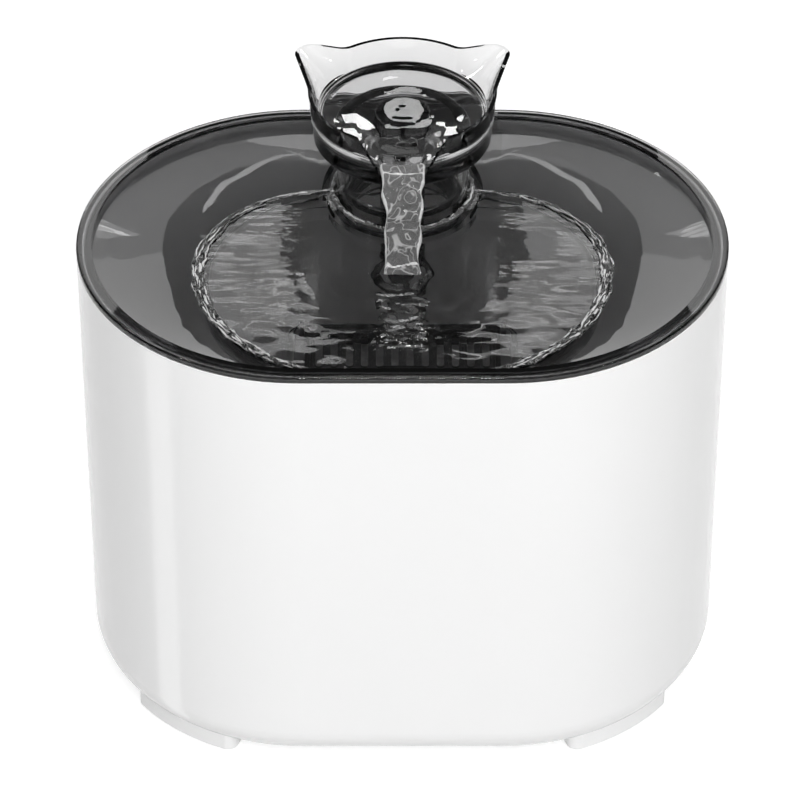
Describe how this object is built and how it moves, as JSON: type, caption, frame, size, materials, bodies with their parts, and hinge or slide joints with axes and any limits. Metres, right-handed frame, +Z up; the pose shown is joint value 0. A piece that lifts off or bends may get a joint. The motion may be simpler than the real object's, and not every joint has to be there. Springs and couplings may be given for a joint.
{
  "type": "pet water fountain",
  "caption": "Stadium-shaped tank with a dished drinking tray, an oval pool, a cat-ear pouring spout on a column, a drop-in filter cartridge and a submersible pump.",
  "frame": {"origin": "middle of the footprint, on the surface that the four feet stand on", "axes": "+X along the tank's width, +Y to the rear where the spout stands, +Z up"},
  "size_m": [0.2, 0.1378, 0.1846],
  "materials": {
    "shell_white": "gloss",
    "tray_smoke": "gloss, smoke-tinted clear",
    "clear_plastic": "gloss, clear",
    "rubber_grey": "matt",
    "rubber_black": "matt",
    "filter_white": "satin",
    "filter_smoke": "satin",
    "carbon_cloth": "matt",
    "felt_white": "matt",
    "pump_black": "satin",
    "impeller_white": "satin",
    "magnet_dark": "satin",
    "shaft_ceramic": "gloss",
    "core_iron": "satin",
    "coil_copper": "enamelled wire",
    "sponge_black": "open-cell foam",
    "dial_grey": "satin"
  },
  "bodies": {
    "tank": {"tank_shell": "shell_white", "foot_pads": "rubber_grey", "cable_grommet": "rubber_grey", "riser_tube": "clear_plastic", "riser_seal": "rubber_grey", "pump_housing": "pump_black", "pump_end_cap": "pump_black", "stator_core": "core_iron", "stator_coil": "coil_copper", "pump_cable_gland": "rubber_black", "volute_plate": "pump_black", "shaft_bushes": "rubber_black", "pump_shaft": "shaft_ceramic", "suction_cups": "rubber_black"},
    "tray": {"tray": "tray_smoke"},
    "spout_column": {"riser_sleeve": "clear_plastic"},
    "spout": {"spout_cup": "clear_plastic", "flow_spreader": "clear_plastic"},
    "filter_cartridge": {"filter_basket": "filter_white", "carbon_pack": "carbon_cloth", "filter_felt": "felt_white"},
    "filter_lid": {"filter_lid": "filter_smoke"},
    "rotor": {"impeller": "impeller_white", "rotor_magnet": "magnet_dark"},
    "intake_cover": {"pump_cover": "pump_black", "pump_sponge": "sponge_black"},
    "flow_dial": {"flow_dial": "dial_grey"}
  },
  "joints": [
    {"name": "tray_lift", "type": "slide", "parent": "tank", "child": "tray", "axis": [0, 0, 1], "range_m": [0, 0.06]},
    {"name": "spout_turn", "type": "hinge", "parent": "tray", "child": "spout_column", "pos_m": [0, 0.0396, 0.15], "axis": [0, 0, 1], "range_deg": [-60, 60]},
    {"name": "spout_lift", "type": "slide", "parent": "spout_column", "child": "spout", "axis": [0, 0, 1], "range_m": [0, 0.03]},
    {"name": "cartridge_lift", "type": "slide", "parent": "tray", "child": "filter_cartridge", "axis": [0, 0, 1], "range_m": [0, 0.04]},
    {"name": "filter_lid_open", "type": "hinge", "parent": "filter_cartridge", "child": "filter_lid", "pos_m": [0, -0.0232, 0.13745], "axis": [-1, 0, 0], "range_deg": [0, 95]},
    {"name": "impeller_spin", "type": "hinge", "parent": "tank", "child": "rotor", "pos_m": [0, 0.0396, 0.028], "axis": [1, 0, 0], "continuous": true},
    {"name": "intake_cover_pull", "type": "slide", "parent": "tank", "child": "intake_cover", "axis": [-1, 0, 0], "range_m": [0, 0.016]},
    {"name": "flow_dial_turn", "type": "hinge", "parent": "intake_cover", "child": "flow_dial", "pos_m": [-0.022, 0.0396, 0.028], "axis": [1, 0, 0], "range_deg": [-45, 45]}
  ]
}
